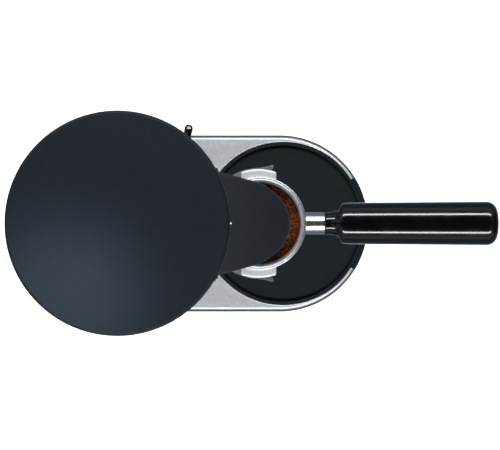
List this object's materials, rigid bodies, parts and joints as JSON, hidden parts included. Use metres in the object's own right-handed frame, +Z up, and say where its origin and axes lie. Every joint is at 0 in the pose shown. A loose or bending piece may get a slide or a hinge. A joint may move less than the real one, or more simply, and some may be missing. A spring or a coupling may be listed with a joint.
{
  "type": "burr coffee grinder",
  "caption": "Electric burr coffee grinder with a bean hopper under a wide disc lid, a chute hood, a fork holding a portafilter, and a round catch tray in a long base.",
  "frame": {"origin": "middle of the whole object's footprint, on the surface it stands on", "axes": "+Z up along the motor and hopper, +X to the front, where the portafilter's handle points, and +Y to the side of the grind lever"},
  "size_m": [0.36, 0.157, 0.3735],
  "materials": {
    "cast_aluminium": "satin, fine blasted",
    "brushed_steel": "brushed",
    "polished_steel": "polished",
    "lid_plastic": "satin",
    "hood_plastic": "satin",
    "tray_plastic": "fine matt",
    "grip_plastic": "gloss",
    "smoked_plastic": "clear, smoked",
    "rubber": "matt",
    "burr_steel": "ground",
    "electrical_steel": "laminated",
    "copper": "enamelled wire",
    "brass": "satin",
    "switch_plastic": "satin",
    "lamp_white": "clear white",
    "coffee": "granular"
  },
  "bodies": {
    "body": {"base_casting": "cast_aluminium", "base_skirt": "rubber", "bottom_plate": "electrical_steel", "foot_rear_left": "rubber", "foot_rear_right": "rubber", "foot_front_left": "rubber", "foot_front_right": "rubber", "foot_screw_rear_left": "polished_steel", "foot_screw_rear_right": "polished_steel", "foot_screw_front_left": "polished_steel", "foot_screw_front_right": "polished_steel", "tower_shell": "brushed_steel", "mains_inlet": "switch_plastic", "inlet_pin_live": "brass", "inlet_pin_neutral": "brass", "inlet_pin_earth": "brass", "motor_lower_bracket": "cast_aluminium", "motor_upper_bracket": "cast_aluminium", "motor_lower_bearing": "polished_steel", "motor_upper_bearing": "polished_steel", "stator_core": "electrical_steel", "stator_winding_lower": "copper", "stator_winding_upper": "copper", "motor_tie_rod_front": "polished_steel", "motor_tie_rod_rear": "polished_steel", "run_capacitor": "lid_plastic", "grinding_chamber": "cast_aluminium", "head_cover": "hood_plastic", "outlet_chute": "hood_plastic", "chute_hood": "hood_plastic", "indicator_lamp": "lamp_white", "portafilter_fork": "cast_aluminium", "fork_screw_left": "polished_steel", "fork_screw_right": "polished_steel", "micro_switch": "switch_plastic", "rocker_frame": "switch_plastic"},
    "rotor": {"motor_shaft": "polished_steel", "rotor_core": "electrical_steel", "cooling_fan": "switch_plastic", "lower_burr_carrier": "cast_aluminium", "lower_burr": "burr_steel", "burr_nut": "brass"},
    "burr_carrier": {"upper_burr_carrier": "cast_aluminium", "upper_burr": "burr_steel"},
    "collar": {"adjusting_collar": "hood_plastic", "lever_rod": "polished_steel", "lever_knob": "switch_plastic"},
    "hopper": {"hopper": "smoked_plastic", "finger_guard": "switch_plastic"},
    "lid": {"hopper_lid": "lid_plastic", "lid_seal": "rubber"},
    "tray": {"catch_tray": "tray_plastic"},
    "portafilter": {"portafilter_body": "polished_steel", "filter_basket": "polished_steel", "ground_coffee": "coffee", "portafilter_spout": "polished_steel", "portafilter_handle": "grip_plastic"},
    "button": {"start_button": "switch_plastic"},
    "rocker": {"power_rocker": "switch_plastic"}
  },
  "joints": [
    {"name": "burr_spin", "type": "hinge", "parent": "body", "child": "rotor", "pos_m": [-0.1015, 0, 0.2], "axis": [0, 0, 1], "continuous": true},
    {"name": "grind_adjust", "type": "hinge", "parent": "body", "child": "collar", "pos_m": [-0.1015, 0, 0.271], "axis": [0, 0, 1], "range_deg": [-20, 70]},
    {"name": "burr_gap", "type": "slide", "parent": "body", "child": "burr_carrier", "axis": [0, 0, 1], "range_m": [-0.00008, 0.00029]},
    {"name": "hopper_lift", "type": "slide", "parent": "body", "child": "hopper", "axis": [0, 0, 1], "range_m": [0, 0.06]},
    {"name": "lid_lift", "type": "slide", "parent": "hopper", "child": "lid", "axis": [0, 0, 1], "range_m": [0, 0.05]},
    {"name": "tray_lift", "type": "slide", "parent": "body", "child": "tray", "axis": [0, 0, 1], "range_m": [0, 0.04]},
    {"name": "portafilter_pull", "type": "slide", "parent": "body", "child": "portafilter", "axis": [1, 0, 0], "range_m": [0, 0.1]},
    {"name": "start_press", "type": "slide", "parent": "body", "child": "button", "axis": [-1, 0, 0], "range_m": [0, 0.0025], "stiffness_N_per_m": 300, "springref_m": -0.002},
    {"name": "power_rock", "type": "hinge", "parent": "body", "child": "rocker", "pos_m": [-0.0415, -0.0377, 0.234], "axis": [1, 0, 0], "range_deg": [-14, 0]}
  ],
  "couplings": [
    {"joint": "grind_adjust", "follows": "burr_gap", "rad_per_m": 4188.8}
  ]
}
